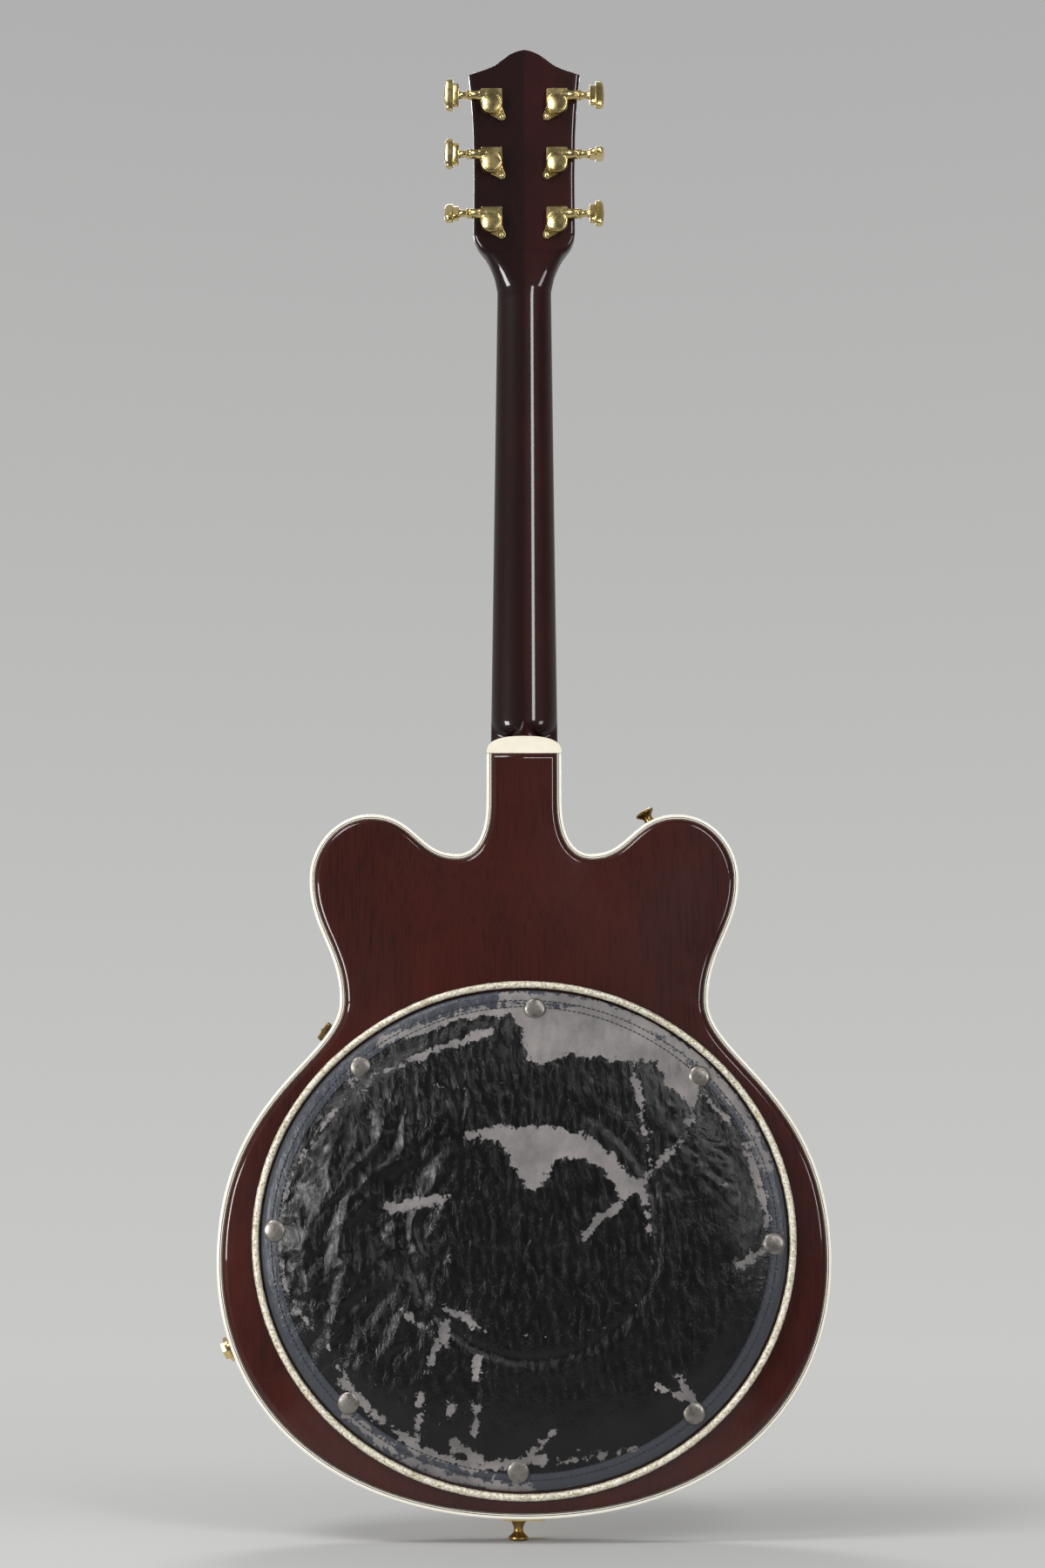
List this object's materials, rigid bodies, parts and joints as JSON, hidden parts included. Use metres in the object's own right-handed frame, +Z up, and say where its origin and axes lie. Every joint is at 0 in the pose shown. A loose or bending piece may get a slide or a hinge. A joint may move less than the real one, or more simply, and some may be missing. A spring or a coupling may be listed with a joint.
{
  "type": "hollow-body electric guitar",
  "caption": "Thin double-cutaway hollow-body electric guitar with a padded vinyl cover on its back, a roller vibrato tailpiece and a tilted headstock.",
  "frame": {"origin": "on the flat outer face of the end strap button, on the body's centre line, at the middle of the body's depth", "axes": "+Z up the neck to the headstock, +Y out of the back, -Y out of the strings' side, +X the treble side"},
  "size_m": [0.432, 0.1384, 1.119],
  "materials": {
    "stained_wood": "glossy dark red-brown stain",
    "dark_maple": "glossy near-black maroon stain",
    "spruce": "bare",
    "ebony": "oiled",
    "cream_plastic": "glossy, with dark lines",
    "bone": "polished",
    "pad_vinyl": "worn, wrinkled and flaking vinyl over foam",
    "sparkle_piping": "crinkled silver and gold sparkle",
    "gold_plate": "gold plated, polished",
    "control_steel": "nickel plated",
    "spring_steel": "bright",
    "string_steel": "plain and wound wire",
    "guard_plastic": "clear over a gold back"
  },
  "bodies": {
    "guitar_body": {"top_plate": "stained_wood", "back_plate": "stained_wood", "rim": "stained_wood", "top_binding": "cream_plastic", "back_binding": "cream_plastic", "neck_block": "spruce", "tail_block": "spruce", "neck": "dark_maple", "fingerboard": "ebony", "nut": "bone", "heel_cap": "cream_plastic", "tuner_housing_bass_1": "gold_plate", "tuner_housing_bass_2": "gold_plate", "tuner_housing_bass_3": "gold_plate", "tuner_housing_treble_1": "gold_plate", "tuner_housing_treble_2": "gold_plate", "tuner_housing_treble_3": "gold_plate", "string_1": "string_steel", "string_2": "string_steel", "string_3": "string_steel", "string_4": "string_steel", "string_5": "string_steel", "string_6": "string_steel", "bridge_base": "ebony", "vibrato_frame": "gold_plate", "vibrato_spring": "spring_steel", "pickup_neck": "gold_plate", "pickup_bridge": "gold_plate", "pot_master_volume": "control_steel", "pot_neck_volume": "control_steel", "pot_bridge_volume": "control_steel", "selector_switch": "control_steel", "pickguard": "guard_plastic", "pickguard_bracket": "gold_plate", "output_jack": "gold_plate", "strap_button_end": "gold_plate", "strap_button_horn": "gold_plate"},
    "back_pad": {"pad_cushion": "pad_vinyl", "pad_piping": "sparkle_piping"},
    "button_bass_1": {"tuner_button_bass_1": "gold_plate"},
    "button_bass_2": {"tuner_button_bass_2": "gold_plate"},
    "button_bass_3": {"tuner_button_bass_3": "gold_plate"},
    "button_treble_1": {"tuner_button_treble_1": "gold_plate"},
    "button_treble_2": {"tuner_button_treble_2": "gold_plate"},
    "button_treble_3": {"tuner_button_treble_3": "gold_plate"},
    "post_bass_1": {"tuner_post_bass_1": "gold_plate"},
    "post_bass_2": {"tuner_post_bass_2": "gold_plate"},
    "post_bass_3": {"tuner_post_bass_3": "gold_plate"},
    "post_treble_1": {"tuner_post_treble_1": "gold_plate"},
    "post_treble_2": {"tuner_post_treble_2": "gold_plate"},
    "post_treble_3": {"tuner_post_treble_3": "gold_plate"},
    "bridge_bar": {"bridge_bar": "gold_plate"},
    "thumbwheel_bass": {"thumbwheel_bass": "gold_plate"},
    "thumbwheel_treble": {"thumbwheel_treble": "gold_plate"},
    "roller": {"vibrato_roller": "gold_plate"},
    "arm": {"vibrato_arm": "gold_plate"},
    "master_volume": {"knob_master_volume": "gold_plate"},
    "neck_volume": {"knob_neck_volume": "gold_plate"},
    "bridge_volume": {"knob_bridge_volume": "gold_plate"},
    "selector": {"selector_lever": "control_steel"}
  },
  "joints": [
    {"name": "pad_lift_off", "type": "slide", "parent": "guitar_body", "child": "back_pad", "axis": [0, 1, 0], "range_m": [0, 0.06]},
    {"name": "tuner_bass_1", "type": "hinge", "parent": "guitar_body", "child": "button_bass_1", "pos_m": [-0.0532, 0.01366, 0.98821], "axis": [1, 0, 0], "continuous": true},
    {"name": "tuner_bass_2", "type": "hinge", "parent": "guitar_body", "child": "button_bass_2", "pos_m": [-0.0532, 0.02253, 1.03386], "axis": [1, 0, 0], "continuous": true},
    {"name": "tuner_bass_3", "type": "hinge", "parent": "guitar_body", "child": "button_bass_3", "pos_m": [-0.0532, 0.03133, 1.07911], "axis": [1, 0, 0], "continuous": true},
    {"name": "tuner_treble_1", "type": "hinge", "parent": "guitar_body", "child": "button_treble_1", "pos_m": [0.0532, 0.01366, 0.98821], "axis": [1, 0, 0], "continuous": true},
    {"name": "tuner_treble_2", "type": "hinge", "parent": "guitar_body", "child": "button_treble_2", "pos_m": [0.0532, 0.02253, 1.03386], "axis": [1, 0, 0], "continuous": true},
    {"name": "tuner_treble_3", "type": "hinge", "parent": "guitar_body", "child": "button_treble_3", "pos_m": [0.0532, 0.03133, 1.07911], "axis": [1, 0, 0], "continuous": true},
    {"name": "post_turn_bass_1", "type": "hinge", "parent": "guitar_body", "child": "post_bass_1", "pos_m": [-0.0255, 0.0085, 0.9826], "axis": [0, 0.9816, -0.1908], "continuous": true},
    {"name": "post_turn_bass_2", "type": "hinge", "parent": "guitar_body", "child": "post_bass_2", "pos_m": [-0.0255, 0.01737, 1.02824], "axis": [0, 0.9816, -0.1908], "continuous": true},
    {"name": "post_turn_bass_3", "type": "hinge", "parent": "guitar_body", "child": "post_bass_3", "pos_m": [-0.0255, 0.02616, 1.0735], "axis": [0, 0.9816, -0.1908], "continuous": true},
    {"name": "post_turn_treble_1", "type": "hinge", "parent": "guitar_body", "child": "post_treble_1", "pos_m": [0.0255, 0.0085, 0.9826], "axis": [0, 0.9816, -0.1908], "continuous": true},
    {"name": "post_turn_treble_2", "type": "hinge", "parent": "guitar_body", "child": "post_treble_2", "pos_m": [0.0255, 0.01737, 1.02824], "axis": [0, 0.9816, -0.1908], "continuous": true},
    {"name": "post_turn_treble_3", "type": "hinge", "parent": "guitar_body", "child": "post_treble_3", "pos_m": [0.0255, 0.02616, 1.0735], "axis": [0, 0.9816, -0.1908], "continuous": true},
    {"name": "bridge_height", "type": "slide", "parent": "guitar_body", "child": "bridge_bar", "axis": [0, 1, 0], "range_m": [0, 0.0015]},
    {"name": "wheel_turn_bass", "type": "hinge", "parent": "bridge_bar", "child": "thumbwheel_bass", "pos_m": [-0.037, -0.04497, 0.305], "axis": [0, 1, 0], "range_deg": [0, 771]},
    {"name": "wheel_turn_treble", "type": "hinge", "parent": "bridge_bar", "child": "thumbwheel_treble", "pos_m": [0.037, -0.04497, 0.305], "axis": [0, 1, 0], "range_deg": [0, 771]},
    {"name": "roller_turn", "type": "hinge", "parent": "guitar_body", "child": "roller", "pos_m": [0, -0.0439, 0.112], "axis": [1, 0, 0], "range_deg": [-8, 4], "stiffness_Nm_per_rad": 6, "deforming": ["vibrato_spring"]},
    {"name": "arm_swivel", "type": "hinge", "parent": "roller", "child": "arm", "pos_m": [0.0456, -0.0637, 0.112], "axis": [0, 1, 0], "range_deg": [-25, 60]},
    {"name": "master_volume_turn", "type": "hinge", "parent": "guitar_body", "child": "master_volume", "pos_m": [0.096, -0.03306, 0.468], "axis": [0, 1, 0], "range_deg": [-150, 150]},
    {"name": "neck_volume_turn", "type": "hinge", "parent": "guitar_body", "child": "neck_volume", "pos_m": [0.132, -0.039, 0.206], "axis": [0, 1, 0], "range_deg": [-150, 150]},
    {"name": "bridge_volume_turn", "type": "hinge", "parent": "guitar_body", "child": "bridge_volume", "pos_m": [0.117, -0.039, 0.15], "axis": [0, 1, 0], "range_deg": [-150, 150]},
    {"name": "selector_tilt", "type": "hinge", "parent": "guitar_body", "child": "selector", "pos_m": [-0.092, -0.03021, 0.456], "axis": [1, 0, 0], "range_deg": [-13, 13]}
  ],
  "couplings": [
    {"joint": "post_turn_bass_1", "follows": "tuner_bass_1", "ratio": 0.071429},
    {"joint": "post_turn_bass_2", "follows": "tuner_bass_2", "ratio": 0.071429},
    {"joint": "post_turn_bass_3", "follows": "tuner_bass_3", "ratio": 0.071429},
    {"joint": "post_turn_treble_1", "follows": "tuner_treble_1", "ratio": -0.071429},
    {"joint": "post_turn_treble_2", "follows": "tuner_treble_2", "ratio": -0.071429},
    {"joint": "post_turn_treble_3", "follows": "tuner_treble_3", "ratio": -0.071429},
    {"joint": "wheel_turn_bass", "follows": "bridge_height", "rad_per_m": 8970},
    {"joint": "wheel_turn_treble", "follows": "bridge_height", "rad_per_m": 8970}
  ]
}
